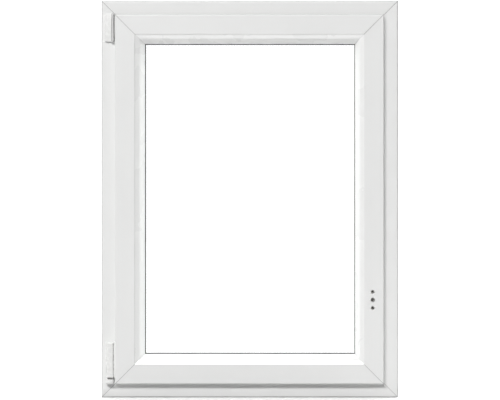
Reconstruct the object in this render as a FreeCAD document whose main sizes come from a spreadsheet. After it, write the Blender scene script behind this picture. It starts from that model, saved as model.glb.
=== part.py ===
import FreeCAD, Part
import os
import Sketcher

# Tilt and turn window of white uPVC, closed, seen from the room along +Y.
# X runs to the viewer's right, Y to the outdoor side and Z up. The origin is the middle of the
# frame's bottom face. Every bar has a cross-section drawn in two directions: "deep", from its
# room face to outdoors, and "inset", from its outer edge towards the glass.

doc = FreeCAD.newDocument("tilt_and_turn_window")
sheet = doc.addObject("Spreadsheet::Sheet", "Sizes")

# The driving sizes, in millimetres
sizes = {
    # The whole window
    "window_width": 800,
    "window_height": 1070,
    # The groove that planing off the weld leaves, beside each mitre
    "weld_groove_width": 0.85,
    "weld_groove_depth": 1,
    # Frame bar
    "frame_depth": 70,
    "frame_leg": 47,
    "frame_lip_thickness": 12,
    "frame_edge_radius": 4,
    "frame_lip_radius": 2.5,
    "outer_groove_width": 8,
    "outer_groove_depth": 5,
    "outer_groove_inset": 12,
    "drain_channel_width": 10,
    "drain_channel_drop": 6,
    "drain_channel_slope": 4,
    # Sash bar
    "sash_overlap": 8,
    "rebate_air": 12,
    "flange_thickness": 12,
    "overlap_gap": 3,
    "stop_gap": 3,
    "stop_lap": 9,
    "sash_face": 53,
    "sash_lip_thickness": 12,
    "sash_edge_radius": 3,
    "sash_lip_radius": 2.5,
    "hardware_axis": 13,
    "faceplate_width": 16,
    "faceplate_seat": 3,
    "hardware_channel_width": 12,
    "hardware_channel_depth": 8,
    # Glazing rebate, beads and glass
    "bead_view": 25.5,
    "outdoor_lip_drop": 7,
    "floor_step": 3.5,
    "bead_seat": 14,
    "clip_groove_width": 4,
    "clip_groove_depth": 6,
    "clip_clearance": 0.3,
    "clip_foot": 5,
    "bead_recess": 1.5,
    "bead_shoulder_slope": 5.5,
    "bead_shoulder_width": 11.5,
    "bead_shoulder_radius": 14,
    "bead_nose": 3,
    "bead_gasket_view": 1.8,
    "bead_gasket_thickness": 3,
    "glass_gasket_thickness": 3,
    "outdoor_gasket_view": 1.5,
    "gasket_strip": 10,
    "gasket_lip_rise": 1.5,
    "gasket_lip_gap": 0.4,
    "pane_thickness": 4,
    "glass_cavity": 16,
    "spacer_width": 10.5,
    "packer_thickness": 5,
    "packer_length": 100,
    "packer_corner_gap": 50,
    # Gaskets between frame and sash
    "stop_gasket_strip": 8,
    "overlap_gasket_width": 3,
    "overlap_gasket_lap": 3.5,
    # Handle drilling and drive gear
    "handle_height": 265,
    "handle_backset": 7,
    "handle_screw_spacing": 43,
    "spindle_hole": 12,
    "handle_screw_hole": 10,
    "spindle_square": 7,
    "gear_screw_thread": 5,
    "gear_length": 125,
    "gear_width": 16,
    "gear_clearance": 0.3,
    "faceplate_thickness": 2.5,
    "faceplate_end_gap": 30,
    # Hinge points on the left-hand side
    "hinge_axis_offset": 7,
    "hinge_leaf_thickness": 2.4,
    "hinge_leaf_clearance": 0.3,
    "hinge_standoff": 1.4,
    "pin_radius": 2,
    "pin_clearance": 0.05,
    "stay_radius": 3.8,
    "stay_rise": 3,
    "stay_eye": 11,
    "stay_length": 75,
    "stay_knuckle_gap": 0.4,
    "stay_base_thickness": 2.4,
    "stay_cover_gap": 0.8,
    "stay_cover_width": 17.5,
    "stay_cover_depth": 9,
    "stay_cover_wall": 2,
    "stay_cover_clearance": 0.3,
    "stay_round_side": 6.5,
    "stay_round_edge": 1.2,
    "corner_cover_left": 18.5,
    "corner_cover_right": 3.2,
    "corner_cover_depth": 15.5,
    "corner_wing_gap": 0.6,
    "corner_wing_depth": 11,
    "corner_round_side": 11,
    "corner_round_edge": 4,
    "cover_round_rim": 1,
    "corner_rise": 1,
    "corner_bearing_height": 11,
    "corner_pin_gap": 6,
    "corner_pin_bite": 20,
    "corner_pin_floor": 3,
    "corner_knuckle_height": 92,
    # Drain slots and their caps
    "drain_slot_length": 28,
    "drain_slot_height": 4,
    "drain_slot_inset": 130,
    "drain_cap_length": 42,
    "drain_cap_height": 11,
    "drain_cap_thickness": 4,
    "drain_cap_radius": 2.5,
    # How far a cutting outline stands out of what it cuts
    "cut_margin": 1,
}
for row, (alias, length) in enumerate(sizes.items(), 1):
    sheet.set("A%d" % row, alias)
    sheet.set("B%d" % row, str(length))
    sheet.setAlias("B%d" % row, alias)
doc.recompute()

# Sizes that follow from the driving ones, as expressions on the sheet
SASH_INSET = "(Sizes.frame_leg - Sizes.sash_overlap)"
SASH_WIDTH = f"(Sizes.window_width - 2 * {SASH_INSET})"
SASH_HEIGHT = f"(Sizes.window_height - 2 * {SASH_INSET})"
FRAME_LIP = "(Sizes.frame_leg + Sizes.rebate_air + Sizes.stop_lap)"
FRAME_STOP = "(Sizes.frame_depth - Sizes.frame_lip_thickness)"
SASH_DEPTH = f"(Sizes.flange_thickness + Sizes.overlap_gap + {FRAME_STOP} - Sizes.stop_gap)"
SASH_BODY = "(Sizes.sash_overlap + Sizes.rebate_air)"
SIGHT_LINE = "(Sizes.sash_face + Sizes.bead_view)"
LIP_LINE = f"({SIGHT_LINE} - Sizes.outdoor_lip_drop)"
REBATE_FLOOR = "(Sizes.sash_face + Sizes.floor_step)"
GLASS_EDGE = f"({REBATE_FLOOR} + Sizes.packer_thickness)"
GLAZING_STOP = f"({SASH_DEPTH} - Sizes.sash_lip_thickness)"
OUTER_PANE = f"({GLAZING_STOP} - Sizes.glass_gasket_thickness)"
GLASS_UNIT = "(2 * Sizes.pane_thickness + Sizes.glass_cavity)"
INNER_PANE = f"({OUTER_PANE} - {GLASS_UNIT})"
BEAD_BACK = f"({INNER_PANE} - Sizes.bead_gasket_thickness)"
HARDWARE_AXIS = "(Sizes.flange_thickness + Sizes.hardware_axis)"
CHANNEL_NEAR = f"({HARDWARE_AXIS} - Sizes.hardware_channel_width / 2)"
CHANNEL_FAR = f"({HARDWARE_AXIS} + Sizes.hardware_channel_width / 2)"
CHANNEL_FLOOR = f"({SASH_BODY} + Sizes.faceplate_seat + Sizes.hardware_channel_depth)"
FRAME_ROOM_FACE = "(-Sizes.frame_depth / 2)"
OVERLAP_GASKET = "(Sizes.frame_leg - Sizes.overlap_gasket_lap)"
SASH_ROOM_FACE = f"({FRAME_ROOM_FACE} - Sizes.overlap_gap - Sizes.flange_thickness)"
HANDLE_ALONG = "(Sizes.handle_height - Sizes.window_height / 2)"
HANDLE_INSET = f"({SASH_BODY} + Sizes.faceplate_seat + Sizes.handle_backset)"
DRAIN_SLOT = "(Sizes.window_width / 2 - Sizes.drain_slot_inset)"


def number(expression):
    """The value of an expression on the sheet, in millimetres."""
    return float(sheet.evalExpression(expression.replace("Sizes.", "")))


def origin_plane(body, role):
    """One of the body's own origin planes."""
    return [feature for feature in body.Origin.OriginFeatures if feature.Role == role][0]


def new_sketch(body, name, role, raised="0"):
    """An empty sketch on one of the body's origin planes, or raised above it."""
    sketch = body.newObject("Sketcher::SketchObject", name)
    sketch.AttachmentSupport = [(origin_plane(body, role), "")]
    sketch.MapMode = "FlatFace"
    sketch.setExpression("AttachmentOffset.Base.z", raised)
    return sketch


def hold(sketch, kind, geometry, point, expression):
    """Holds a point's distance from the sketch's origin by an expression on the sheet."""
    held = sketch.addConstraint(Sketcher.Constraint(kind, -1, 1, geometry, point, number(expression)))
    sketch.setExpression(f"Constraints[{held}]", expression)


def draw_outline(sketch, corners):
    """Draws a closed outline. A side is upright or level where two corners share a place."""
    first = sketch.GeometryCount
    points = [FreeCAD.Vector(number(across), number(up), 0) for across, up in corners]
    for start, end in zip(points, points[1:] + points[:1]):
        sketch.addGeometry(Part.LineSegment(start, end), False)
    for index, (across, up) in enumerate(corners):
        line = first + index
        before = first + (index - 1) % len(corners)
        sketch.addConstraint(Sketcher.Constraint("Coincident", before, 2, line, 1))
        if index and corners[index - 1][0] == across:
            sketch.addConstraint(Sketcher.Constraint("Vertical", before))
        else:
            hold(sketch, "DistanceX", line, 1, across)
        if index and corners[index - 1][1] == up:
            sketch.addConstraint(Sketcher.Constraint("Horizontal", before))
        else:
            hold(sketch, "DistanceY", line, 1, up)


def draw_circle(sketch, across, up, diameter):
    """Draws a circle round a point."""
    centre = FreeCAD.Vector(number(across), number(up), 0)
    upright = FreeCAD.Vector(0, 0, 1)
    circle = sketch.addGeometry(Part.Circle(centre, upright, number(diameter) / 2), False)
    hold(sketch, "DistanceX", circle, 3, across)
    hold(sketch, "DistanceY", circle, 3, up)
    held = sketch.addConstraint(Sketcher.Constraint("Diameter", circle, number(diameter)))
    sketch.setExpression(f"Constraints[{held}]", diameter)


def rectangle(near, far, low, high):
    """The corners of an upright rectangle."""
    return [(near, low), (far, low), (far, high), (near, high)]


def pad(body, sketch, length, symmetric=False, reverse=False):
    """Thickens a sketch."""
    feature = body.newObject("PartDesign::Pad", sketch.Name + "_pad")
    feature.Profile = sketch
    feature.SideType = "Symmetric" if symmetric else "One side"
    feature.Reversed = reverse
    feature.setExpression("Length", length)
    body.Tip = feature
    return feature


def pocket(body, sketch, depth=None, reverse=False):
    """Cuts a sketch out to a depth, or right through both ways where none is given."""
    feature = body.newObject("PartDesign::Pocket", sketch.Name + "_pocket")
    feature.Profile = sketch
    feature.Reversed = reverse
    if depth:
        feature.setExpression("Length", depth)
    else:
        feature.Type = "ThroughAll"
        feature.SideType = "Symmetric"
    body.Tip = feature
    return feature


def round_edges(body, name, chosen, radius):
    """Rounds the edges of the body so far whose middles pass a test."""
    doc.recompute()
    base = body.Tip
    edges = enumerate(base.Shape.Edges, 1)
    feature = body.newObject("PartDesign::Fillet", name)
    feature.Base = (base, [f"Edge{index}" for index, edge in edges if chosen(edge.CenterOfMass)])
    feature.setExpression("Radius", radius)
    body.Tip = feature


def place(body, across, deep, up, turn=0):
    """Sets a body in the window, turned about the Y axis by a number of degrees."""
    turned = FreeCAD.Rotation(FreeCAD.Vector(0, 1, 0), turn)
    body.Placement = FreeCAD.Placement(FreeCAD.Vector(0, 0, 0), turned)
    body.setExpression("Placement.Base.x", across)
    body.setExpression("Placement.Base.y", deep)
    body.setExpression("Placement.Base.z", up)


# Bars: each is extruded, sawn at 45 degrees at both ends and welded to its neighbours, and the
# weld is planed off on both faces, which leaves a shallow groove along each mitre.

def is_long_edge(middle, corners):
    """Whether an edge runs the length of a bar through one of the corners of its section."""
    return abs(middle.x) < 0.01 and any(
        abs(middle.y - number(deep)) < 0.01 and abs(middle.z - number(inset)) < 0.01
        for deep, inset in corners)


def mitre_cut(body, length, height):
    """Saws both ends of a bar at 45 degrees."""
    sketch = new_sketch(body, body.Name + "_mitre", "XZ_Plane")
    low = "-Sizes.cut_margin"
    high = f"{height} + Sizes.cut_margin"
    end = f"{length} / 2 + Sizes.cut_margin"
    heel = f"{length} / 2 - {height} - Sizes.cut_margin"
    draw_outline(sketch, [(end, low), (end, high), (heel, high)])
    draw_outline(sketch, [(f"-({end})", low), (f"-({end})", high), (f"-({heel})", high)])
    pocket(body, sketch)


def weld_grooves(body, face, length, height, deep, outdoors):
    """The shallow grooves that planing the weld leaves on one face, along both mitres."""
    sketch = new_sketch(body, f"{body.Name}_{face}_weld", "XZ_Plane", f"-({deep})")
    low = "-Sizes.cut_margin"
    high = f"{height} + Sizes.cut_margin"
    end = f"{length} / 2 + Sizes.cut_margin"
    heel = f"{length} / 2 - {height} - Sizes.cut_margin"
    groove = "Sizes.weld_groove_width"
    draw_outline(sketch, [(end, low), (heel, high), (f"{heel} - {groove}", high), (f"{end} - {groove}", low)])
    draw_outline(sketch, [(f"-({end})", low), (f"-({heel})", high),
                          (f"-({heel} - {groove})", high), (f"-({end} - {groove})", low)])
    pocket(body, sketch, "Sizes.weld_groove_depth", reverse=outdoors)


def bar(label, section, roundings, length, height, extra_cuts, welded_depth):
    """One mitred bar, lying along X with its outer edge down."""
    body = doc.addObject("PartDesign::Body", label)
    sketch = new_sketch(body, label + "_section", "YZ_Plane")
    draw_outline(sketch, section)
    pad(body, sketch, length, symmetric=True)
    for index, (corners, radius) in enumerate(roundings, 1):
        round_edges(body, f"{label}_rounding_{index}", lambda middle: is_long_edge(middle, corners), radius)
    if extra_cuts:
        extra_cuts(body)
    mitre_cut(body, length, height)
    if welded_depth:
        weld_grooves(body, "room", length, height, "0", False)
        weld_grooves(body, "outdoor", length, height, welded_depth, True)
    return body


def four_bars(kind, section, roundings, size, inset, room_face, height, extras, welded_depth):
    """The bottom, top, left and right bars of one rectangle, mitred into each other."""
    width, upright = size
    half = f"(Sizes.window_width / 2 - {inset})"
    middle = "Sizes.window_height / 2"
    sides = {
        "bottom": (width, "0", inset, 0),
        "top": (width, "0", f"Sizes.window_height - {inset}", 180),
        "left": (upright, "-" + half, middle, 90),
        "right": (upright, half, middle, -90),
    }
    for side, (length, across, up, turn) in sides.items():
        body = bar(f"{kind}_{side}", section, roundings, length, height,
                   extras.get(side), welded_depth)
        place(body, across, room_face, up, turn)


# Frame bars: an L with grooves in its outer face that clip onto a sill, a drain channel in the
# rebate floor, and the outdoor lip that the sash closes on.

def drain_slots(body):
    """The two slots that let water out of the drain channel, through the outdoor lip."""
    sketch = new_sketch(body, "drain_slots", "XZ_Plane", "-Sizes.frame_depth")
    for middle in (f"-{DRAIN_SLOT}", DRAIN_SLOT):
        draw_outline(sketch, rectangle(
            f"{middle} - Sizes.drain_slot_length / 2", f"{middle} + Sizes.drain_slot_length / 2",
            drain_floor, f"{drain_floor} + Sizes.drain_slot_height"))
    pocket(body, sketch, "Sizes.frame_lip_thickness + Sizes.cut_margin", reverse=True)


def outer_groove(near, far):
    """The corners of a sill groove in the frame's outer face."""
    return [(near, "0"), (near, "Sizes.outer_groove_depth"), (far, "Sizes.outer_groove_depth"), (far, "0")]


groove_near = "Sizes.outer_groove_inset"
groove_far = "Sizes.frame_depth - Sizes.outer_groove_inset"
drain_floor = "(Sizes.frame_leg - Sizes.drain_channel_drop)"
drain_near = f"({FRAME_STOP} - Sizes.drain_channel_width)"
slope_near = f"({drain_near} - Sizes.drain_channel_slope)"
frame_section = [
    ("0", "0"),
    *outer_groove(groove_near, f"{groove_near} + Sizes.outer_groove_width"),
    *outer_groove(f"{groove_far} - Sizes.outer_groove_width", groove_far),
    ("Sizes.frame_depth", "0"),
    ("Sizes.frame_depth", FRAME_LIP),
    (FRAME_STOP, FRAME_LIP),
    (FRAME_STOP, drain_floor),
    (drain_near, drain_floor),
    (slope_near, "Sizes.frame_leg"),
    ("0", "Sizes.frame_leg"),
]
frame_roundings = [
    ([("0", "0"), ("Sizes.frame_depth", "0")], "Sizes.frame_edge_radius"),
    ([("Sizes.frame_depth", FRAME_LIP), (FRAME_STOP, FRAME_LIP)],
     "Sizes.frame_lip_radius"),
]
four_bars("frame", frame_section, frame_roundings,
          ("Sizes.window_width", "Sizes.window_height"), "0", FRAME_ROOM_FACE,
          FRAME_LIP, {"bottom": drain_slots}, "Sizes.frame_depth")


# Sash bars: a flange that laps over the frame, the stepped hardware groove in the edge, the
# glazing rebate with the groove that the bead clips into, and the outdoor lip round the glass.

def handle_drilling(body):
    """The routing for the gear case and the three handle holes, in the right-hand bar."""
    half = "(Sizes.gear_length / 2 + Sizes.gear_clearance)"
    routing = new_sketch(body, "gear_routing", "XY_Plane")
    draw_outline(routing, rectangle(f"{HANDLE_ALONG} - {half}", f"{HANDLE_ALONG} + {half}",
                                    CHANNEL_NEAR, CHANNEL_FAR))
    pocket(body, routing, f"{SASH_BODY} + Sizes.faceplate_seat + Sizes.gear_width + Sizes.gear_clearance",
           reverse=True)
    drilling = new_sketch(body, "handle_drilling", "XZ_Plane")
    draw_circle(drilling, HANDLE_ALONG, HANDLE_INSET, "Sizes.spindle_hole")
    for away in ("-", "+"):
        draw_circle(drilling, f"{HANDLE_ALONG} {away} Sizes.handle_screw_spacing / 2",
                    HANDLE_INSET, "Sizes.handle_screw_hole")
    pocket(body, drilling, f"{CHANNEL_NEAR} + Sizes.cut_margin")


seat_near = f"{HARDWARE_AXIS} - Sizes.faceplate_width / 2"
seat_far = f"{HARDWARE_AXIS} + Sizes.faceplate_width / 2"
seat_floor = f"{SASH_BODY} + Sizes.faceplate_seat"
clip_far = "(Sizes.bead_seat + Sizes.clip_groove_width)"
clip_floor = "(Sizes.sash_face - Sizes.clip_groove_depth)"
sash_section = [
    ("0", "0"),
    ("Sizes.flange_thickness", "0"),
    ("Sizes.flange_thickness", SASH_BODY),
    (seat_near, SASH_BODY),
    (seat_near, seat_floor),
    (CHANNEL_NEAR, seat_floor),
    (CHANNEL_NEAR, CHANNEL_FLOOR),
    (CHANNEL_FAR, CHANNEL_FLOOR),
    (CHANNEL_FAR, seat_floor),
    (seat_far, seat_floor),
    (seat_far, SASH_BODY),
    (SASH_DEPTH, SASH_BODY),
    (SASH_DEPTH, LIP_LINE),
    (GLAZING_STOP, LIP_LINE),
    (GLAZING_STOP, REBATE_FLOOR),
    (clip_far, REBATE_FLOOR),
    (clip_far, clip_floor),
    ("Sizes.bead_seat", clip_floor),
    ("Sizes.bead_seat", "Sizes.sash_face"),
    ("0", "Sizes.sash_face"),
]
sash_roundings = [
    ([("0", "0")], "Sizes.sash_edge_radius"),
    ([(SASH_DEPTH, LIP_LINE), (GLAZING_STOP, LIP_LINE)], "Sizes.sash_lip_radius"),
]
four_bars("sash", sash_section, sash_roundings, (SASH_WIDTH, SASH_HEIGHT), SASH_INSET,
          SASH_ROOM_FACE, SIGHT_LINE, {"right": handle_drilling}, SASH_DEPTH)

# Glazing beads: a sloped shoulder, a round edge and a steep flank down to the glass, on a foot
# that clips into the groove of the sash. They are mitred like the sash, but not welded.
bead_near = "Sizes.bead_seat + Sizes.clip_clearance"
foot_far = f"{clip_far} - Sizes.clip_clearance"
foot_floor = "Sizes.sash_face - Sizes.clip_foot"
nose_inset = f"{SIGHT_LINE} - Sizes.bead_gasket_view"
shoulder = ("Sizes.bead_recess + Sizes.bead_shoulder_slope", "Sizes.sash_face + Sizes.bead_shoulder_width")
bead_section = [
    ("Sizes.bead_recess", "Sizes.sash_face"),
    (bead_near, "Sizes.sash_face"),
    (bead_near, foot_floor),
    (foot_far, foot_floor),
    (foot_far, REBATE_FLOOR),
    (BEAD_BACK, REBATE_FLOOR),
    (BEAD_BACK, nose_inset),
    (f"{BEAD_BACK} - Sizes.bead_nose", nose_inset),
    shoulder,
]
four_bars("bead", bead_section, [([shoulder], "Sizes.bead_shoulder_radius")],
          (SASH_WIDTH, SASH_HEIGHT), SASH_INSET, SASH_ROOM_FACE, SIGHT_LINE, {}, None)


# Rings and panes lie in the window's own plane, each thickened from its outdoor face to the room.

def inset_rectangle(inset):
    """A rectangle set in from the window's outer edges on all four sides."""
    half = f"(Sizes.window_width / 2 - {inset})"
    return rectangle("-" + half, half, inset, f"Sizes.window_height - {inset}")


def ring(body, name, outer_inset, inner_inset, thickness, raised="0"):
    """Adds a flat ring to a body, or a whole pane where there is no inner edge."""
    sketch = new_sketch(body, name, "XZ_Plane", raised)
    draw_outline(sketch, inset_rectangle(outer_inset))
    if inner_inset:
        draw_outline(sketch, inset_rectangle(inner_inset))
    pad(body, sketch, thickness)


def sash_deep(deep):
    """Where a depth measured from the sash's room face lies along Y."""
    return f"({SASH_ROOM_FACE} + {deep})"


def sash_inset(inset):
    """An inset measured from the sash's edge, as one from the window's edge."""
    return f"({SASH_INSET} + {inset})"


# The sealed unit: two panes on a spacer, standing on two packers in the bottom rebate.
for label, face in (("glass_inner", f"{INNER_PANE} + Sizes.pane_thickness"), ("glass_outer", OUTER_PANE)):
    pane = doc.addObject("PartDesign::Body", label)
    ring(pane, label + "_outline", sash_inset(GLASS_EDGE), None, "Sizes.pane_thickness")
    place(pane, "0", sash_deep(face), "0")

spacer = doc.addObject("PartDesign::Body", "glass_spacer")
ring(spacer, "spacer_outline", sash_inset(GLASS_EDGE), sash_inset(f"({GLASS_EDGE} + Sizes.spacer_width)"),
     "Sizes.glass_cavity")
place(spacer, "0", sash_deep(f"{OUTER_PANE} - Sizes.pane_thickness"), "0")

packers = doc.addObject("PartDesign::Body", "glazing_packers")
packer_sketch = new_sketch(packers, "packer_outlines", "XZ_Plane")
packer_end = f"(Sizes.window_width / 2 - {sash_inset(GLASS_EDGE)} - Sizes.packer_corner_gap)"
for near, far in (("-" + packer_end, f"Sizes.packer_length - {packer_end}"),
                  (f"{packer_end} - Sizes.packer_length", packer_end)):
    draw_outline(packer_sketch, rectangle(near, far, sash_inset(REBATE_FLOOR), sash_inset(GLASS_EDGE)))
pad(packers, packer_sketch, GLASS_UNIT)
place(packers, "0", sash_deep(OUTER_PANE), "0")

# Gaskets: a flat strip that is squeezed between two faces, and beside the edge that hides it a
# lip that rises into view.
bead_gasket = doc.addObject("PartDesign::Body", "bead_gasket")
strip_outer = sash_inset(f"({SIGHT_LINE} - Sizes.gasket_strip)")
lip_outer = sash_inset(f"({nose_inset} + Sizes.gasket_lip_gap)")
ring(bead_gasket, "bead_gasket_strip", strip_outer, sash_inset(SIGHT_LINE), "Sizes.bead_gasket_thickness")
ring(bead_gasket, "bead_gasket_lip", lip_outer, sash_inset(SIGHT_LINE),
     "Sizes.bead_gasket_thickness + Sizes.gasket_lip_rise")
place(bead_gasket, "0", sash_deep(INNER_PANE), "0")

glass_gasket = doc.addObject("PartDesign::Body", "outdoor_glass_gasket")
view_edge = sash_inset(f"({LIP_LINE} + Sizes.outdoor_gasket_view)")
ring(glass_gasket, "glass_gasket_strip", sash_inset(f"({LIP_LINE} - Sizes.gasket_strip)"), view_edge,
     "Sizes.glass_gasket_thickness")
ring(glass_gasket, "glass_gasket_lip", sash_inset(f"({LIP_LINE} + Sizes.gasket_lip_gap)"), view_edge,
     "Sizes.glass_gasket_thickness + Sizes.gasket_lip_rise", "-Sizes.gasket_lip_rise")
place(glass_gasket, "0", sash_deep(GLAZING_STOP), "0")

stop_gasket = doc.addObject("PartDesign::Body", "frame_stop_gasket")
stop_edge = f"({FRAME_LIP} + Sizes.outdoor_gasket_view)"
ring(stop_gasket, "stop_gasket_strip", f"({FRAME_LIP} - Sizes.stop_gasket_strip)", stop_edge,
     "Sizes.stop_gap")
ring(stop_gasket, "stop_gasket_lip", f"({FRAME_LIP} + Sizes.gasket_lip_gap)", stop_edge,
     "Sizes.stop_gap + Sizes.gasket_lip_rise", "-Sizes.gasket_lip_rise")
place(stop_gasket, "0", f"{FRAME_ROOM_FACE} + {FRAME_STOP}", "0")

overlap_gasket = doc.addObject("PartDesign::Body", "sash_overlap_gasket")
ring(overlap_gasket, "overlap_gasket_strip", OVERLAP_GASKET,
     f"({OVERLAP_GASKET} + Sizes.overlap_gasket_width)", "Sizes.overlap_gap")
place(overlap_gasket, "0", FRAME_ROOM_FACE, "0")


# Hinge points: each part is a plan drawn from above and thickened upwards. Both turn on one
# upright line beside the sash, and a leaf under the sash's flange carries each knuckle.
HINGE_X = f"(-Sizes.window_width / 2 + {SASH_INSET} - Sizes.hinge_axis_offset)"
HINGE_Y = f"({FRAME_ROOM_FACE} - Sizes.hinge_standoff - Sizes.stay_radius)"
SASH_EDGE_X = f"(-Sizes.window_width / 2 + {SASH_INSET})"
LEAF_END_X = f"(-Sizes.window_width / 2 + {OVERLAP_GASKET} - Sizes.hinge_leaf_clearance)"
SASH_LEAF = (f"{FRAME_ROOM_FACE} - Sizes.overlap_gap",
             f"{FRAME_ROOM_FACE} - Sizes.overlap_gap + Sizes.hinge_leaf_thickness")


def barrel(body, name, low, height, radius):
    """A round barrel or pin on the hinge line, standing up from a height."""
    sketch = new_sketch(body, name, "XY_Plane", low)
    draw_circle(sketch, HINGE_X, HINGE_Y, f"2 * {radius}")
    pad(body, sketch, height)


def plate(body, name, low, height, near, far, faces):
    """A plate drawn from above between two ends and two faces, and thickened upwards."""
    sketch = new_sketch(body, name, "XY_Plane", low)
    draw_outline(sketch, rectangle(near, far, *faces))
    pad(body, sketch, height)


def cover(body, kind, low, height, left, right, front, back, rim):
    """A cover over a hinge point, rounded towards the frame's edge, at its other side and at one rim."""
    plate(body, body.Name + "_cover", low, height, left, right, (front, back))
    for corner, side in ((left, "round_side"), (right, "round_edge")):
        at, level = number(corner), number(front)
        round_edges(body, f"{body.Name}_{side}",
                    lambda middle: abs(middle.x - at) + abs(middle.y - level) < 0.01,
                    f"Sizes.{kind}_{side}")
    end, inner = number(rim), number(back)
    round_edges(body, body.Name + "_rim",
                lambda middle: abs(middle.z - end) < 0.01 and middle.y < inner - 0.01,
                "Sizes.cover_round_rim")


def pin_bore(body, low, height):
    """The bore that a hinge pin turns in."""
    sketch = new_sketch(body, body.Name + "_bore", "XY_Plane", low)
    draw_circle(sketch, HINGE_X, HINGE_Y, "2 * (Sizes.pin_radius + Sizes.pin_clearance)")
    pocket(body, sketch, height, reverse=True)


# The stay bearing at the top: a base plate on the frame with two eyes at its side, the cap that
# hides the plate's screws, the stay's knuckle between the eyes, and one pin.
STAY_TOP = f"(Sizes.window_height - {SASH_INSET} + Sizes.stay_rise)"
STAY_BOTTOM = f"({STAY_TOP} - Sizes.stay_length)"
STAY_COVER_RIGHT = f"({HINGE_X} - Sizes.stay_radius - Sizes.stay_cover_gap)"
STAY_COVER_LEFT = f"({STAY_COVER_RIGHT} - Sizes.stay_cover_width)"
STAY_BASE_LEFT = f"({STAY_COVER_LEFT} + Sizes.stay_cover_wall + Sizes.stay_cover_clearance)"
STAY_BASE_FACE = f"({FRAME_ROOM_FACE} - Sizes.stay_base_thickness)"
stay_bearing = doc.addObject("PartDesign::Body", "stay_bearing")
plate(stay_bearing, "stay_base", STAY_BOTTOM, "Sizes.stay_length", STAY_BASE_LEFT, STAY_COVER_RIGHT,
      (STAY_BASE_FACE, FRAME_ROOM_FACE))
for eye, low in (("lower", STAY_BOTTOM), ("upper", f"{STAY_TOP} - Sizes.stay_eye")):
    plate(stay_bearing, f"stay_{eye}_lug", low, "Sizes.stay_eye",
          f"{STAY_COVER_RIGHT} + Sizes.stay_cover_clearance", HINGE_X, (HINGE_Y, FRAME_ROOM_FACE))
    plate(stay_bearing, f"stay_{eye}_foot", low, "Sizes.stay_eye", STAY_BASE_LEFT, HINGE_X,
          (STAY_BASE_FACE, FRAME_ROOM_FACE))
    barrel(stay_bearing, f"stay_{eye}_eye", low, "Sizes.stay_eye", "Sizes.stay_radius")
pin_bore(stay_bearing, STAY_BOTTOM, "Sizes.stay_length")

stay_cover = doc.addObject("PartDesign::Body", "stay_cover")
cover(stay_cover, "stay", STAY_BOTTOM, "Sizes.stay_length", STAY_COVER_LEFT, STAY_COVER_RIGHT,
      f"{FRAME_ROOM_FACE} - Sizes.stay_cover_depth", FRAME_ROOM_FACE, STAY_BOTTOM)
cover_hollow = new_sketch(stay_cover, "stay_cover_hollow", "XY_Plane", STAY_BOTTOM)
draw_outline(cover_hollow, rectangle(
    f"{STAY_COVER_LEFT} + Sizes.stay_cover_wall", f"{STAY_COVER_RIGHT} + Sizes.cut_margin",
    f"{STAY_BASE_FACE} - Sizes.stay_cover_clearance", f"{FRAME_ROOM_FACE} + Sizes.cut_margin"))
pocket(stay_cover, cover_hollow, "Sizes.stay_length", reverse=True)

middle_low = f"{STAY_BOTTOM} + Sizes.stay_eye + Sizes.stay_knuckle_gap"
middle_height = "Sizes.stay_length - 2 * (Sizes.stay_eye + Sizes.stay_knuckle_gap)"
stay_knuckle = doc.addObject("PartDesign::Body", "stay_knuckle")
barrel(stay_knuckle, "stay_knuckle_barrel", middle_low, middle_height, "Sizes.stay_radius")
plate(stay_knuckle, "stay_knuckle_leaf", middle_low, middle_height, HINGE_X, LEAF_END_X, SASH_LEAF)
pin_bore(stay_knuckle, middle_low, middle_height)

stay_pin = doc.addObject("PartDesign::Body", "stay_pin")
barrel(stay_pin, "stay_pin_shank", STAY_BOTTOM, "Sizes.stay_length", "Sizes.pin_radius")

# The corner hinge at the bottom: a bearing on the frame, above it a covered knuckle with a wing
# along the sash's edge, and the pin between them.
CORNER_LEFT = f"({HINGE_X} - Sizes.corner_cover_left)"
CORNER_RIGHT = f"({HINGE_X} + Sizes.corner_cover_right)"
CORNER_FRONT = f"({FRAME_ROOM_FACE} - Sizes.corner_cover_depth)"
CORNER_BOTTOM = f"({SASH_INSET} + Sizes.corner_rise)"
KNUCKLE_BOTTOM = f"({CORNER_BOTTOM} + Sizes.corner_bearing_height + Sizes.corner_pin_gap)"
corner_bearing = doc.addObject("PartDesign::Body", "corner_bearing")
cover(corner_bearing, "corner", CORNER_BOTTOM, "Sizes.corner_bearing_height", CORNER_LEFT, CORNER_RIGHT,
      CORNER_FRONT, FRAME_ROOM_FACE, CORNER_BOTTOM)
pin_bore(corner_bearing, f"{CORNER_BOTTOM} + Sizes.corner_pin_floor", "Sizes.corner_bearing_height")

corner_knuckle = doc.addObject("PartDesign::Body", "corner_knuckle")
cover(corner_knuckle, "corner", KNUCKLE_BOTTOM, "Sizes.corner_knuckle_height", CORNER_LEFT, CORNER_RIGHT,
      CORNER_FRONT, f"{FRAME_ROOM_FACE} - Sizes.hinge_leaf_clearance",
      f"{KNUCKLE_BOTTOM} + Sizes.corner_knuckle_height")
plate(corner_knuckle, "corner_knuckle_leaf", KNUCKLE_BOTTOM, "Sizes.corner_knuckle_height",
      HINGE_X, LEAF_END_X, SASH_LEAF)
plate(corner_knuckle, "corner_knuckle_wing", KNUCKLE_BOTTOM, "Sizes.corner_knuckle_height",
      f"{CORNER_RIGHT} + Sizes.corner_wing_gap", f"{SASH_EDGE_X} - Sizes.hinge_leaf_clearance",
      (f"{FRAME_ROOM_FACE} - Sizes.corner_wing_depth", f"{FRAME_ROOM_FACE} - Sizes.hinge_leaf_clearance"))
pin_bore(corner_knuckle, KNUCKLE_BOTTOM, "Sizes.corner_pin_bite")

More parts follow.
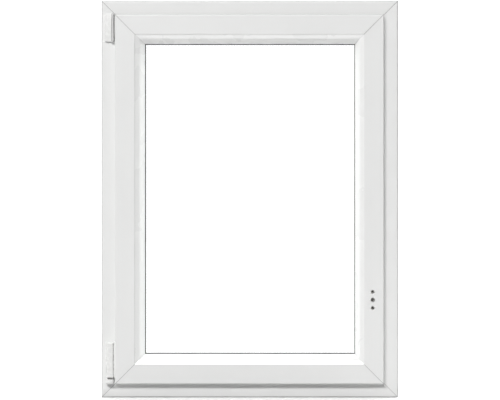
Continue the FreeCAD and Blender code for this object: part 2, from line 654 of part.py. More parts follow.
corner_pin = doc.addObject("PartDesign::Body", "corner_pin")
pin_foot = f"({CORNER_BOTTOM} + Sizes.corner_pin_floor)"
barrel(corner_pin, "corner_pin_shank", pin_foot, f"{KNUCKLE_BOTTOM} + Sizes.corner_pin_bite - {pin_foot}",
       "Sizes.pin_radius")

# Drive gear: the case behind the handle holes, with the square follower for the spindle and the
# threads for the handle's screws, riveted to the faceplate that lies in the hardware groove.
drive_gear = doc.addObject("PartDesign::Body", "drive_gear")
plate_half = f"({SASH_HEIGHT} / 2 - {SASH_BODY} - Sizes.faceplate_end_gap)"
plate(drive_gear, "faceplate", f"{seat_floor} - Sizes.faceplate_thickness", "Sizes.faceplate_thickness",
      "-" + plate_half, plate_half,
      (f"{seat_near} + Sizes.gear_clearance", f"{seat_far} - Sizes.gear_clearance"))
plate(drive_gear, "gear_case", seat_floor, "Sizes.gear_width",
      f"{HANDLE_ALONG} - Sizes.gear_length / 2", f"{HANDLE_ALONG} + Sizes.gear_length / 2",
      (CHANNEL_NEAR, f"{CHANNEL_FAR} - Sizes.gear_clearance"))
drive = new_sketch(drive_gear, "gear_openings", "XZ_Plane")
draw_outline(drive, rectangle(
    f"{HANDLE_ALONG} - Sizes.spindle_square / 2", f"{HANDLE_ALONG} + Sizes.spindle_square / 2",
    f"{HANDLE_INSET} - Sizes.spindle_square / 2", f"{HANDLE_INSET} + Sizes.spindle_square / 2"))
for away in ("-", "+"):
    draw_circle(drive, f"{HANDLE_ALONG} {away} Sizes.handle_screw_spacing / 2",
                HANDLE_INSET, "Sizes.gear_screw_thread")
pocket(drive_gear, drive)
place(drive_gear, f"Sizes.window_width / 2 - {SASH_INSET}", SASH_ROOM_FACE, "Sizes.window_height / 2", -90)

# Drain caps, clipped over the slots on the outdoor face.
drain_caps = doc.addObject("PartDesign::Body", "drain_caps")
cap_sketch = new_sketch(drain_caps, "drain_cap_outlines", "XZ_Plane")
slot_height = f"({drain_floor} + Sizes.drain_slot_height / 2)"
for middle in (f"-{DRAIN_SLOT}", DRAIN_SLOT):
    draw_outline(cap_sketch, rectangle(
        f"{middle} - Sizes.drain_cap_length / 2", f"{middle} + Sizes.drain_cap_length / 2",
        f"{slot_height} - Sizes.drain_cap_height / 2", f"{slot_height} + Sizes.drain_cap_height / 2"))
pad(drain_caps, cap_sketch, "Sizes.drain_cap_thickness", reverse=True)
cap_face = number("Sizes.drain_cap_thickness")
round_edges(drain_caps, "drain_cap_rounding", lambda middle: abs(middle.y - cap_face) < 0.01,
            "Sizes.drain_cap_radius")
place(drain_caps, "0", "Sizes.frame_depth / 2", "0")

doc.recompute()
for item in doc.Objects:
    if "Invalid" in item.State or "Error" in item.State:
        raise RuntimeError(f"{item.Label} failed: {item.State}")
pieces = [item for item in doc.Objects if item.TypeId == "PartDesign::Body"]
for piece in pieces:
    if piece.Shape.isNull() or not piece.Shape.isValid():
        raise RuntimeError(f"{piece.Label} has no valid shape")
os.makedirs("parts", exist_ok=True)
for piece in pieces:
    piece.Shape.exportStep(f"parts/{piece.Label}.step")
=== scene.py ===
import bpy
import math
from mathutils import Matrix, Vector


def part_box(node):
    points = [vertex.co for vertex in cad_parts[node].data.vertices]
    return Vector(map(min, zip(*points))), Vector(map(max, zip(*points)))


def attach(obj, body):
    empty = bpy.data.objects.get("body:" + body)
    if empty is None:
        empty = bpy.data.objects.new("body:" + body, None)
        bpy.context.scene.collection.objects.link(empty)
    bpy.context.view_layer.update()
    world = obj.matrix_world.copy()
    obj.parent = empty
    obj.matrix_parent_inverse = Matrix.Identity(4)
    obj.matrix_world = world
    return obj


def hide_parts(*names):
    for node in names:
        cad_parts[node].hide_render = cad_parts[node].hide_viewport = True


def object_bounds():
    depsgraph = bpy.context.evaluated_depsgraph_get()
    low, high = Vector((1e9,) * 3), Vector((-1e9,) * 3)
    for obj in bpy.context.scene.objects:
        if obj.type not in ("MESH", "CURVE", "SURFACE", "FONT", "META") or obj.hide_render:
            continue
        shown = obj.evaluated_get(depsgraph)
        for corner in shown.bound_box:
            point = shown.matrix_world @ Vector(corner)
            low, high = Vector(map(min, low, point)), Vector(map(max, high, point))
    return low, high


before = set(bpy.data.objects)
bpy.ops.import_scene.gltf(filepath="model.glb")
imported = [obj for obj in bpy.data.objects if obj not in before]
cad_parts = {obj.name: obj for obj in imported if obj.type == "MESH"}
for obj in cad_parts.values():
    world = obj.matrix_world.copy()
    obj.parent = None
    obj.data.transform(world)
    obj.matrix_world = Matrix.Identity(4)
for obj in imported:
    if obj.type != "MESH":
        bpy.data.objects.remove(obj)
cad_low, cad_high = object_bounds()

picture_width = 1.348        # metres across the picture, at the frame's room face
picture_middle = Vector((0.0007, -0.035, 0.5326))
camera_distance = 2.7
camera_aside = 0.19
camera_above = 0.08
view_lens = bpy.data.cameras.new("Room view")
view_lens.sensor_width = 36
view_lens.lens = view_lens.sensor_width * camera_distance / picture_width
view_lens.shift_x = -camera_aside / picture_width
view_lens.shift_y = -camera_above / picture_width
view_lens.clip_end = 30
room_camera = bpy.data.objects.new("Room view", view_lens)
bpy.context.scene.collection.objects.link(room_camera)
room_camera.location = picture_middle + Vector((camera_aside, -camera_distance, camera_above))
room_camera.rotation_euler = (math.pi / 2, 0, 0)
bpy.context.scene.camera = room_camera
bpy.context.scene.view_settings.view_transform = "Standard"


# The studio floor: pale, level, and under the window's bottom face. It takes the window's shadow
# close by, and further off it shows as white as the room behind it.
def adder(tree):
    """A function that adds a node to a tree with its plain values set."""
    def add(kind, **values):
        node = tree.nodes.new(kind)
        for name, value in values.items():
            if name in node.bl_rna.properties:
                setattr(node, name, value)
            else:
                node.inputs[name.replace("_", " ")].default_value = value
        return node
    return add


def nodes_of(owner):
    """The emptied node tree of a material or a world, and the function that adds to it."""
    owner.use_nodes = True
    owner.node_tree.nodes.clear()
    return owner.node_tree, adder(owner.node_tree)


def deselect_all():
    """Leaves nothing selected, so that the next operator acts on its own piece alone."""
    if bpy.context.object and bpy.context.object.mode != "OBJECT":
        bpy.ops.object.mode_set(mode="OBJECT")
    bpy.ops.object.select_all(action="DESELECT")


def white_to_the_eye(tree, add):
    """1 for a ray that a viewer sees straight or through glass, 0 for a lighting or mirrored ray."""
    path = add("ShaderNodeLightPath")
    straight_or_through = add("ShaderNodeMath", operation="MAXIMUM")
    bounces = add("ShaderNodeMath", operation="ADD")
    before_any_bounce = add("ShaderNodeMath", operation="LESS_THAN")
    before_any_bounce.inputs[1].default_value = 0.5      # between no bounce and one
    seen = add("ShaderNodeMath", operation="MULTIPLY")
    tree.links.new(path.outputs["Is Camera Ray"], straight_or_through.inputs[0])
    tree.links.new(path.outputs["Is Transmission Ray"], straight_or_through.inputs[1])
    tree.links.new(path.outputs["Diffuse Depth"], bounces.inputs[0])
    tree.links.new(path.outputs["Glossy Depth"], bounces.inputs[1])
    tree.links.new(bounces.outputs[0], before_any_bounce.inputs[0])
    tree.links.new(straight_or_through.outputs[0], seen.inputs[0])
    tree.links.new(before_any_bounce.outputs[0], seen.inputs[1])
    return seen.outputs[0]


seen_white = 1.2             # a little over white, so that it is still white behind two panes
floor_size = 12
shadow_reach = (0.02, 0.15)  # metres round the window where the shaded floor gives way to white
floor_grey = (0.93, 0.93, 0.93, 1)
floor_grey_in_bounces = (0.45, 0.45, 0.45, 1)            # keeps the window's underside in shade
deselect_all()
bpy.ops.mesh.primitive_plane_add(size=floor_size)
floor = bpy.context.object
floor.name = "floor"
floor_paint = bpy.data.materials.new("Pale studio floor")
tree, add = nodes_of(floor_paint)
where = add("ShaderNodeTexCoord")
split = add("ShaderNodeSeparateXYZ")
aside = add("ShaderNodeMath", operation="ABSOLUTE")
past_side = add("ShaderNodeMath", operation="SUBTRACT")
past_side.inputs[1].default_value = cad_high.x
past_side_only = add("ShaderNodeMath", operation="MAXIMUM")
past_side_only.inputs[1].default_value = 0
spot = add("ShaderNodeCombineXYZ")
reach = add("ShaderNodeVectorMath", operation="LENGTH")
fade = add("ShaderNodeMapRange", interpolation_type="SMOOTHSTEP",
           From_Min=shadow_reach[0], From_Max=shadow_reach[1])
seen_far = add("ShaderNodeMath", operation="MULTIPLY")
bounce = add("ShaderNodeLightPath")
floor_tone = add("ShaderNodeMixRGB", Color1=floor_grey, Color2=floor_grey_in_bounces)
lit = add("ShaderNodeBsdfDiffuse")
white = add("ShaderNodeEmission", Color=(1, 1, 1, 1), Strength=seen_white)
blend = add("ShaderNodeMixShader")
surface = add("ShaderNodeOutputMaterial")
tree.links.new(where.outputs["Object"], split.inputs[0])
tree.links.new(split.outputs["X"], aside.inputs[0])
tree.links.new(aside.outputs[0], past_side.inputs[0])
tree.links.new(past_side.outputs[0], past_side_only.inputs[0])
tree.links.new(past_side_only.outputs[0], spot.inputs["X"])
tree.links.new(split.outputs["Y"], spot.inputs["Y"])
tree.links.new(spot.outputs[0], reach.inputs[0])
tree.links.new(reach.outputs["Value"], fade.inputs["Value"])
tree.links.new(fade.outputs[0], seen_far.inputs[0])
tree.links.new(white_to_the_eye(tree, add), seen_far.inputs[1])
tree.links.new(bounce.outputs["Is Diffuse Ray"], floor_tone.inputs["Fac"])
tree.links.new(floor_tone.outputs[0], lit.inputs["Color"])
tree.links.new(seen_far.outputs[0], blend.inputs[0])
tree.links.new(lit.outputs[0], blend.inputs[1])
tree.links.new(white.outputs[0], blend.inputs[2])
tree.links.new(blend.outputs[0], surface.inputs["Surface"])
floor.data.materials.append(floor_paint)

# The white room round the window. It shows white, but its light comes at a plain level from behind
# the window, with next to none from the camera's side, where the lamps do the shading. Metal,
# plastic and glass mirror a plain pale room.
room_light_front = 0.02
room_light_low = 0.85        # behind the window, level with it
room_light_high = 0.8        # behind the window, higher up
room_in_mirrors = 0.65
turn_to_behind = (0.35, 0.75)  # how far a direction points along +Y where the light sets in and is full
turn_to_high = (0.15, 0.45)    # how far it points along +Z where the low light gives way to the high
room = bpy.data.worlds.new("White room")
bpy.context.scene.world = room
tree, add = nodes_of(room)
direction = add("ShaderNodeTexCoord")
split = add("ShaderNodeSeparateXYZ")
behind = add("ShaderNodeMapRange", interpolation_type="SMOOTHSTEP",
             From_Min=turn_to_behind[0], From_Max=turn_to_behind[1])
height = add("ShaderNodeMapRange", interpolation_type="SMOOTHSTEP",
             From_Min=turn_to_high[0], From_Max=turn_to_high[1],
             To_Min=room_light_low, To_Max=room_light_high)
by_direction = add("ShaderNodeMath", operation="MULTIPLY_ADD")
by_direction.inputs[2].default_value = room_light_front
mirrored = add("ShaderNodeLightPath")
strength = add("ShaderNodeMix", data_type="FLOAT")
strength.inputs["B"].default_value = room_in_mirrors
room_light = add("ShaderNodeBackground", Color=(1, 1, 1, 1))
room_white = add("ShaderNodeBackground", Color=(1, 1, 1, 1), Strength=seen_white)
blend = add("ShaderNodeMixShader")
surface = add("ShaderNodeOutputWorld")
tree.links.new(direction.outputs["Generated"], split.inputs[0])
tree.links.new(split.outputs["Y"], behind.inputs["Value"])
tree.links.new(split.outputs["Z"], height.inputs["Value"])
tree.links.new(behind.outputs[0], by_direction.inputs[0])
tree.links.new(height.outputs[0], by_direction.inputs[1])
tree.links.new(by_direction.outputs[0], strength.inputs["A"])
tree.links.new(mirrored.outputs["Is Glossy Ray"], strength.inputs["Factor"])
tree.links.new(strength.outputs[0], room_light.inputs["Strength"])
tree.links.new(white_to_the_eye(tree, add), blend.inputs[0])
tree.links.new(room_light.outputs[0], blend.inputs[1])
tree.links.new(room_white.outputs[0], blend.inputs[2])
tree.links.new(blend.outputs[0], surface.inputs["Surface"])

# The lamps: a long bank of soft light above the camera and to its left, which throws the short
# shadow under the sash, three behind, which light only the floor and, through the glass, the beads'
# inner sides, and a low one for the underside of the top bead.
window_heart = Vector((0, 0, 0.53))


def softbox(name, place, width, height, power):
    """A rectangular lamp that faces the window's middle and doesn't show in the picture."""
    light = bpy.data.lights.new(name, "AREA")
    light.shape = "RECTANGLE"
    light.size = width
    light.size_y = height
    light.energy = power
    lamp = bpy.data.objects.new(name, light)
    bpy.context.scene.collection.objects.link(lamp)
    lamp.location = place
    lamp.rotation_euler = (window_heart - Vector(place)).to_track_quat("-Z", "Y").to_euler()
    lamp.visible_camera = False
    return lamp


def keep_to(lamps, name, pieces):
    """Lets lamps light these pieces alone, and keeps them out of whatever mirrors the room."""
    lit_pieces = bpy.data.collections.new(name)
    for piece in pieces:
        lit_pieces.objects.link(piece)
    for lamp in lamps:
        lamp.visible_glossy = False
        lamp.light_linking.receiver_collection = lit_pieces


softbox("Bank above", (-2.6, -8.5, 9.0), width=8, height=1.8, power=1450)
back_lights = [softbox("Back light", (0, 2.2, 2.6), width=3, height=1.6, power=40),
               softbox("Back light, left", (-2.6, 1.5, 1.0), width=2, height=2.4, power=105),
               softbox("Back light, right", (2.6, 1.5, 1.0), width=2, height=2.4, power=195)]
for back_light in back_lights:
    back_light.visible_transmission = False
beads = [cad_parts["bead_" + side] for side in ("bottom", "top", "left", "right")]
keep_to(back_lights, "Lit from behind", [floor, *beads])
low_light = softbox("Low light", (0, -1.5, 0.25), width=2.5, height=0.5, power=10)
keep_to([low_light], "Lit from below", [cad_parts["bead_top"]])


# Frame bars: white rigid uPVC, extruded, sawn at 45 degrees and welded at the corners. The die
# leaves very fine lines along the bar, and the satin surface is slightly uneven over a hand's width.
def extrusion_group():
    """The marks of an extruded bar: fine lines along it, faint streaks and slow unevenness."""
    group = bpy.data.node_groups.new("Extruded bar", "ShaderNodeTree")
    for name, kind in (("Vector", "NodeSocketVector"), ("Lines across", "NodeSocketFloat"),
                       ("Lines along", "NodeSocketFloat")):
        group.interface.new_socket(name, in_out="INPUT", socket_type=kind)
    for name in ("Lines", "Streaks", "Unevenness"):
        group.interface.new_socket(name, in_out="OUTPUT", socket_type="NodeSocketFloat")
    add = adder(group)
    link = group.links.new
    given = add("NodeGroupInput")
    made = add("NodeGroupOutput")
    scales = add("ShaderNodeCombineXYZ")
    stretch = add("ShaderNodeVectorMath", operation="MULTIPLY")
    lines = add("ShaderNodeTexNoise", Scale=1, Detail=3)
    wide = add("ShaderNodeVectorMath", operation="SCALE", Scale=streaks_per_line)
    streaks = add("ShaderNodeTexNoise", Scale=1, Detail=2)
    uneven = add("ShaderNodeTexNoise", Scale=9, Detail=4)
    for axis, name in (("X", "Lines along"), ("Y", "Lines across"), ("Z", "Lines across")):
        link(given.outputs[name], scales.inputs[axis])
    link(given.outputs["Vector"], stretch.inputs[0])
    link(scales.outputs[0], stretch.inputs[1])
    link(stretch.outputs[0], lines.inputs["Vector"])
    link(stretch.outputs[0], wide.inputs[0])
    link(wide.outputs[0], streaks.inputs["Vector"])
    link(given.outputs["Vector"], uneven.inputs["Vector"])
    link(lines.outputs["Fac"], made.inputs["Lines"])
    link(streaks.outputs["Fac"], made.inputs["Streaks"])
    link(uneven.outputs["Fac"], made.inputs["Unevenness"])
    return group


def joint_lines_group():
    """Masks for dust and painted shade in each corner weld's groove, and for painted shade along the outer
    rim and the sash's top edge.
    """
    group = bpy.data.node_groups.new("Corner welds and rims", "ShaderNodeTree")
    group.interface.new_socket("Vector", in_out="INPUT", socket_type="NodeSocketVector")
    for name in ("Weld", "Rim"):
        group.interface.new_socket(name, in_out="OUTPUT", socket_type="NodeSocketFloat")
    add = adder(group)
    link = group.links.new
    given = add("NodeGroupInput")
    made = add("NodeGroupOutput")
    split = add("ShaderNodeSeparateXYZ")
    link(given.outputs["Vector"], split.inputs[0])

    def work(operation, *values):
        """The result of one sum on plain numbers and sockets."""
        node = add("ShaderNodeMath", operation=operation)
        for socket, value in zip(node.inputs, values):
            if isinstance(value, (int, float)):
                socket.default_value = value
            else:
                link(value, socket)
        return node.outputs[0]

    def band(distance, width):
        """1 on a line, falling to 0 at this distance from it."""
        fall = add("ShaderNodeMapRange", interpolation_type="SMOOTHSTEP",
                   From_Min=width / 2, From_Max=width, To_Min=1, To_Max=0)
        link(distance, fall.inputs["Value"])
        return fall.outputs[0]

    half_width, half_height = cad_high.x, cad_high.z / 2
    from_side = work("ABSOLUTE", split.outputs["X"])
    from_middle = work("ABSOLUTE", work("SUBTRACT", split.outputs["Z"], half_height))
    above_corner_line = work("SUBTRACT", from_middle, from_side)
    # Distance from the corner mitres, whose weld grooves are darkened with dust and painted shade.
    off_mitre = work("ABSOLUTE", work("SUBTRACT", above_corner_line, half_height - half_width))
    # Painted shade: the outer rim of the front and a thin band along the sash's top edge are darkened,
    # standing in for the shade on the rounded rims and on the frame beside the proud sash.
    to_edge = work("MINIMUM", work("SUBTRACT", half_width, from_side),
                   work("SUBTRACT", half_height, from_middle))
    to_sash_top = work("ABSOLUTE", work("SUBTRACT", split.outputs["Z"], sash_top))
    outer_rim = work("MULTIPLY", band(to_edge, rim_width), outer_share)
    on_sash = work("LESS_THAN", from_side, sash_side)
    top_edge_painted_shade = work("MULTIPLY", band(to_sash_top, top_shade_width), on_sash)
    at_front = work("LESS_THAN", split.outputs["Y"], rim_back)
    link(band(off_mitre, weld_width), made.inputs["Weld"])
    link(work("MULTIPLY", work("MAXIMUM", outer_rim, top_edge_painted_shade), at_front), made.inputs["Rim"])
    return group


lines_across = 1400          # marks to the metre across a bar
lines_along = 3              # and along it
streaks_per_line = 0.12      # the streaks are so much coarser than the lines
streak_share = 0.35          # how far the streaks move a bar between its darker and its paler tone
darker, paler = 0.985, 1.012
sash_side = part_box("sash_right")[1][0]
sash_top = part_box("sash_top")[1][2]
rim_depth = 0.0025
rim_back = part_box("frame_left")[0][1] + rim_depth
# The painted shade along the outer rim and the sash's top edge: its widths and its strength.
rim_width = 0.0036
outer_share = 0.7            # how strong the painted shade on the outer rim is beside that at the sash's top edge
top_shade_width = 0.0016
weld_width = 0.0013
rim_shade = 0.55
# The grey that the dust and painted shade darken the plastic towards.
dust_and_shade_grey = (0.3, 0.3, 0.295, 1)
extruded_bar = extrusion_group()
joint_lines = joint_lines_group()
upright_turn = (0, math.pi / 2, 0)   # turns a pattern that runs along X to run along Z


def white_upvc(name, colour, upright, roughness, weld_shade):
    """White rigid plastic as it leaves the extruder, with its lines along the bar, dust and painted shade
    in its weld grooves, and painted shade along its rims.
    """
    paint = bpy.data.materials.new(name)
    tree, add = nodes_of(paint)
    where = add("ShaderNodeTexCoord")
    along = add("ShaderNodeMapping", Rotation=upright_turn if upright else (0, 0, 0))
    marks = add("ShaderNodeGroup", node_tree=extruded_bar, Lines_across=lines_across,
                Lines_along=lines_along)
    shade = add("ShaderNodeMixRGB", Color1=(*[part * darker for part in colour], 1),
                Color2=(*[part * paler for part in colour], 1))
    tone = add("ShaderNodeMath", operation="MULTIPLY_ADD")
    tone.inputs[1].default_value = streak_share
    joints = add("ShaderNodeGroup", node_tree=joint_lines)
    # Dust and painted shade in the weld grooves, at the strength given for this plastic.
    weld_dust_and_shade = add("ShaderNodeMath", operation="MULTIPLY")
    weld_dust_and_shade.inputs[1].default_value = weld_shade
    # Painted shade along the outer rim and the sash's top edge.
    rim_painted_shade = add("ShaderNodeMath", operation="MULTIPLY")
    rim_painted_shade.inputs[1].default_value = rim_shade
    # The stronger mark wins: dust and painted shade in the welds, or painted shade on the rims.
    dust_and_shade = add("ShaderNodeMath", operation="MAXIMUM")
    dusty_and_shaded = add("ShaderNodeMixRGB", Color2=dust_and_shade_grey)
    sheen = add("ShaderNodeMapRange", From_Min=0.3, From_Max=0.7,
                To_Min=roughness - 0.05, To_Max=roughness + 0.06)
    relief = add("ShaderNodeBump", Strength=0.12, Distance=0.00004)
    plastic = add("ShaderNodeBsdfPrincipled", IOR=1.53)
    surface = add("ShaderNodeOutputMaterial")
    tree.links.new(where.outputs["Object"], along.inputs["Vector"])
    tree.links.new(along.outputs[0], marks.inputs["Vector"])
    tree.links.new(marks.outputs["Streaks"], tone.inputs[0])
    tree.links.new(marks.outputs["Unevenness"], tone.inputs[2])
    tree.links.new(tone.outputs[0], shade.inputs["Fac"])
    tree.links.new(where.outputs["Object"], joints.inputs["Vector"])
    tree.links.new(joints.outputs["Weld"], weld_dust_and_shade.inputs[0])
    tree.links.new(joints.outputs["Rim"], rim_painted_shade.inputs[0])
    tree.links.new(weld_dust_and_shade.outputs[0], dust_and_shade.inputs[0])
    tree.links.new(rim_painted_shade.outputs[0], dust_and_shade.inputs[1])
    tree.links.new(dust_and_shade.outputs[0], dusty_and_shaded.inputs["Fac"])
    tree.links.new(shade.outputs[0], dusty_and_shaded.inputs["Color1"])
    tree.links.new(dusty_and_shaded.outputs[0], plastic.inputs["Base Color"])
    tree.links.new(marks.outputs["Unevenness"], sheen.inputs["Value"])
    tree.links.new(sheen.outputs[0], plastic.inputs["Roughness"])
    tree.links.new(marks.outputs["Lines"], relief.inputs["Height"])
    tree.links.new(relief.outputs[0], plastic.inputs["Normal"])
    tree.links.new(plastic.outputs[0], surface.inputs["Surface"])
    return paint


def dress(node, paint):
    """Gives a CAD node its finished material."""
    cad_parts[node].data.materials.clear()
    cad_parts[node].data.materials.append(paint)


def dress_bars(kind, level_paint, upright_paint):
    """Gives the four bars of one kind the material whose lines run along each of them."""
    for side, paint in (("bottom", level_paint), ("top", level_paint),
                        ("left", upright_paint), ("right", upright_paint)):
        dress(f"{kind}_{side}", paint)


frame_white = (0.83, 0.832, 0.825)
level_upvc = white_upvc("White uPVC, level bars", frame_white, upright=False,
                        roughness=0.34, weld_shade=0.6)
upright_upvc = white_upvc("White uPVC, upright bars", frame_white, upright=True,
                          roughness=0.34, weld_shade=0.6)
dress_bars("frame", level_upvc, upright_upvc)

# Sash bars: the same extrusion compound and satin finish as the frame, welded in the same way,
# with the hardware groove in their edge and the three handle holes drilled in the right-hand bar.
dress_bars("sash", level_upvc, upright_upvc)

# Glazing beads: thin extrusions of the same white plastic from a finer die, so a little glossier,
# mitred and clipped into the sash all round the glass.
bead_white = (0.84, 0.842, 0.835)
level_bead = white_upvc("White bead, level", bead_white, upright=False, roughness=0.28, weld_shade=0.2)
upright_bead = white_upvc("White bead, upright", bead_white, upright=True, roughness=0.28, weld_shade=0.2)
dress_bars("bead", level_bead, upright_bead)

# The sealed unit's panes: clear float glass, 4 mm thick, very slightly green and all but flat,
# with the faintest haze of dust. The lamps' light passes straight through both of them.
clear_glass = bpy.data.materials.new("Clear float glass")
tree, add = nodes_of(clear_glass)
where = add("ShaderNodeTexCoord")
haze = add("ShaderNodeTexNoise", Scale=14, Detail=5)
polish = add("ShaderNodeMapRange", From_Min=0.35, From_Max=0.75, To_Min=0, To_Max=0.02)
glass = add("ShaderNodeBsdfPrincipled", Base_Color=(0.996, 1, 0.998, 1), IOR=1.5, Transmission_Weight=1)
passing = add("ShaderNodeBsdfTransparent", Color=(0.955, 0.96, 0.957, 1))
path = add("ShaderNodeLightPath")
pane = add("ShaderNodeMixShader")
surface = add("ShaderNodeOutputMaterial")
tree.links.new(where.outputs["Object"], haze.inputs["Vector"])
tree.links.new(haze.outputs["Fac"], polish.inputs["Value"])
tree.links.new(polish.outputs[0], glass.inputs["Roughness"])
tree.links.new(path.outputs["Is Shadow Ray"], pane.inputs[0])
tree.links.new(glass.outputs[0], pane.inputs[1])
tree.links.new(passing.outputs[0], pane.inputs[2])
tree.links.new(pane.outputs[0], surface.inputs["Surface"])
dress("glass_inner", clear_glass)
dress("glass_outer", clear_glass)


# The spacer between the panes: a mill-finished aluminium section, rolled, with two rows of tiny
# holes in the face towards the glass, through which the drying agent inside it works.
def grained(name, scale, detail, tones, sheens, bump, **shader):
    """A material whose tone and gloss follow one noise, with its relief left for the caller to join on."""
    paint = bpy.data.materials.new(name)
    tree, add = nodes_of(paint)
    where = add("ShaderNodeTexCoord")
    grain = add("ShaderNodeTexNoise", Scale=scale, Detail=detail)
    tone = add("ShaderNodeMixRGB", Color1=(*tones[0], 1), Color2=(*tones[1], 1))
    sheen = add("ShaderNodeMapRange", To_Min=sheens[0], To_Max=sheens[1])
    relief = add("ShaderNodeBump", Strength=bump[0], Distance=bump[1])
    body = add("ShaderNodeBsdfPrincipled", **shader)
    surface = add("ShaderNodeOutputMaterial")
    tree.links.new(where.outputs["Object"], grain.inputs["Vector"])
    tree.links.new(grain.outputs["Fac"], tone.inputs["Fac"])
    tree.links.new(tone.outputs[0], body.inputs["Base Color"])
    tree.links.new(grain.outputs["Fac"], sheen.inputs["Value"])
    tree.links.new(sheen.outputs[0], body.inputs["Roughness"])
    tree.links.new(relief.outputs[0], body.inputs["Normal"])
    tree.links.new(body.outputs[0], surface.inputs["Surface"])
    return paint, tree, add, where, grain, relief


spacer_metal, tree, add, where, rolled, relief = grained(
    "Mill finish aluminium spacer", 420, 3, tones=((0.58, 0.585, 0.59), (0.7, 0.705, 0.71)),
    sheens=(0.28, 0.42), bump=(0.5, 0.0003), Metallic=1)
holes = add("ShaderNodeTexVoronoi", Scale=170, Randomness=0)
pierced = add("ShaderNodeMapRange", From_Min=0.12, From_Max=0.2)
tree.links.new(where.outputs["Object"], holes.inputs["Vector"])
tree.links.new(holes.outputs["Distance"], pierced.inputs["Value"])
tree.links.new(pierced.outputs[0], relief.inputs["Height"])
dress("glass_spacer", spacer_metal)

# Gaskets: black extruded rubber, matt, with a faint bloom where it has been handled, pressed
# between the bead and the glass, the sash and the glass, and the sash and the frame.
black_rubber, tree, add, where, bloom, relief = grained(
    "Black gasket rubber", 35, 4, tones=((0.018, 0.018, 0.019), (0.045, 0.045, 0.046)),
    sheens=(0.5, 0.72), bump=(0.25, 0.00008), IOR=1.5)
skin = add("ShaderNodeTexNoise", Scale=2600, Detail=2)
tree.links.new(where.outputs["Object"], skin.inputs["Vector"])
tree.links.new(skin.outputs["Fac"], relief.inputs["Height"])
for node in ("bead_gasket", "outdoor_glass_gasket", "frame_stop_gasket", "sash_overlap_gasket"):
    dress(node, black_rubber)

# Glazing packers: flat blocks of blue moulded plastic that the glass stands on in the bottom
# rebate, with a fine ribbed face so that water can pass beneath.
packer_plastic, tree, add, where, grain, relief = grained(
    "Blue packer plastic", 900, 3, tones=((0.09, 0.17, 0.42), (0.12, 0.21, 0.48)),
    sheens=(0.45, 0.6), bump=(0.6, 0.0004), IOR=1.5)
ribs = add("ShaderNodeTexWave", wave_type="BANDS", bands_direction="X", Scale=60)
tree.links.new(where.outputs["Object"], ribs.inputs["Vector"])
tree.links.new(ribs.outputs["Fac"], relief.inputs["Height"])
dress("glazing_packers", packer_plastic)


# The stay bearing at the top left: turned and stamped steel, zinc plated, two eyes on the frame
# and the stay's knuckle between them on one pin.
def zinc_steel(name, tones, roughness, stretch):
    """Zinc plated steel, with fine marks whose number to the metre is given along each axis."""
    paint, tree, add, where, spangle, relief = grained(
        name, 160, 4, tones, sheens=(roughness - 0.06, roughness + 0.1), bump=(0.3, 0.00003), Metallic=1)
    along = add("ShaderNodeMapping", Scale=stretch)
    marks = add("ShaderNodeTexNoise", Scale=1, Detail=3)
    tree.links.new(where.outputs["Object"], along.inputs["Vector"])
    tree.links.new(along.outputs[0], marks.inputs["Vector"])
    tree.links.new(marks.outputs["Fac"], relief.inputs["Height"])
    return paint


turned_rings = (60, 60, 2600)
rolled_grain = (700, 700, 90)
hinge_steel = zinc_steel("Zinc plated hinge steel", ((0.6, 0.6, 0.595), (0.72, 0.72, 0.715)), 0.34,
                         turned_rings)
for node in ("stay_bearing", "stay_knuckle", "stay_pin", "corner_pin"):
    dress(node, hinge_steel)

# The corner hinge at the bottom left: a cast cup on the frame and the sash's knuckle on its pin,
# both finished in a smooth white lacquer.
white_lacquer, tree, add, where, flow, relief = grained(
    "White hinge lacquer", 120, 3, tones=((0.84, 0.84, 0.825), (0.87, 0.87, 0.86)),
    sheens=(0.22, 0.32), bump=(0.2, 0.00005), IOR=1.5)
tree.links.new(flow.outputs["Fac"], relief.inputs["Height"])
dress("corner_bearing", white_lacquer)
dress("corner_knuckle", white_lacquer)


# The cap beside the stay bearing: a low white pressing clipped over the steel base plate, rounded
# along its left side and over its two ends. It is hollow, and open at the ends and towards the eyes.
def select_edges(piece, chosen):
    """Selects the edges of a piece whose two ends both pass the test, and opens it for editing."""
    deselect_all()
    bpy.context.view_layer.objects.active = piece
    piece.select_set(True)
    bpy.ops.object.mode_set(mode="EDIT")
    bpy.ops.mesh.select_all(action="DESELECT")
    bpy.ops.mesh.select_mode(type="EDGE")
    bpy.ops.object.mode_set(mode="OBJECT")
    corners = piece.data.vertices
    for edge in piece.data.edges:
        edge.select = all(chosen(corners[end].co) for end in edge.vertices)
    bpy.ops.object.mode_set(mode="EDIT")


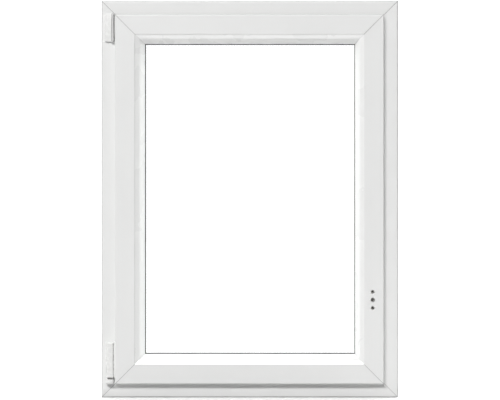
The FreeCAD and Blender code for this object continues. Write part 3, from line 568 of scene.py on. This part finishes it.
def block(name, low, high):
    """A box between two corners, with its place in its mesh."""
    deselect_all()
    low, high = Vector(low), Vector(high)
    bpy.ops.mesh.primitive_cube_add(size=1, location=(low + high) / 2)
    made = bpy.context.object
    made.name = name
    made.scale = high - low
    bpy.ops.object.transform_apply(location=True, rotation=False, scale=True)
    return made


cap_low, cap_high = (Vector(corner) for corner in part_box("stay_cover"))
cap_depth = 0.0045
cap_wall = 0.002
cap_skin = 0.0018
cap_side_rounding = 0.003
cap_end_rounding = 0.0012
cap_front = cap_high.y - cap_depth
near = 0.0001                # how close a corner counts as lying on a face
over = 0.001                 # how far the cutter stands out of the open sides
stay_cap = block("stay_cap", (cap_low.x, cap_front, cap_low.z), cap_high)
select_edges(stay_cap, lambda at: at.x < cap_low.x + near and at.y < cap_front + near)
bpy.ops.mesh.bevel(offset=cap_side_rounding, segments=7, profile=0.5)
for cap_end in (cap_low.z, cap_high.z):
    select_edges(stay_cap, lambda at: abs(at.z - cap_end) < near and at.y < cap_high.y - near)
    bpy.ops.mesh.bevel(offset=cap_end_rounding, segments=4, profile=0.5)
bpy.ops.object.mode_set(mode="OBJECT")
room_for_plate = block("room_for_plate", (cap_low.x + cap_wall, cap_front + cap_skin, cap_low.z - over),
                       (cap_high.x + over, cap_high.y + over, cap_high.z + over))
hollow = stay_cap.modifiers.new("Hollow", "BOOLEAN")
hollow.operation = "DIFFERENCE"
hollow.object = room_for_plate
deselect_all()
bpy.context.view_layer.objects.active = stay_cap
stay_cap.select_set(True)
bpy.ops.object.modifier_apply(modifier=hollow.name)
bpy.data.objects.remove(room_for_plate, do_unlink=True)
bpy.ops.object.shade_smooth_by_angle(angle=math.radians(30))
stay_cap.data.materials.clear()
stay_cap.data.materials.append(white_lacquer)
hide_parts("stay_cover")
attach(stay_cap, "root")

# The drive gear behind the handle holes: a zinc plated steel case on its faceplate, which lies in
# the hardware groove of the sash.
gear_steel = zinc_steel("Zinc plated gear case", ((0.5, 0.495, 0.47), (0.62, 0.61, 0.585)), 0.4,
                        rolled_grain)
dress("drive_gear", gear_steel)

# Drain caps on the outdoor face: small hoods moulded in the white of the frame, clipped over the
# slots in the bottom bar.
dress("drain_caps", level_upvc)
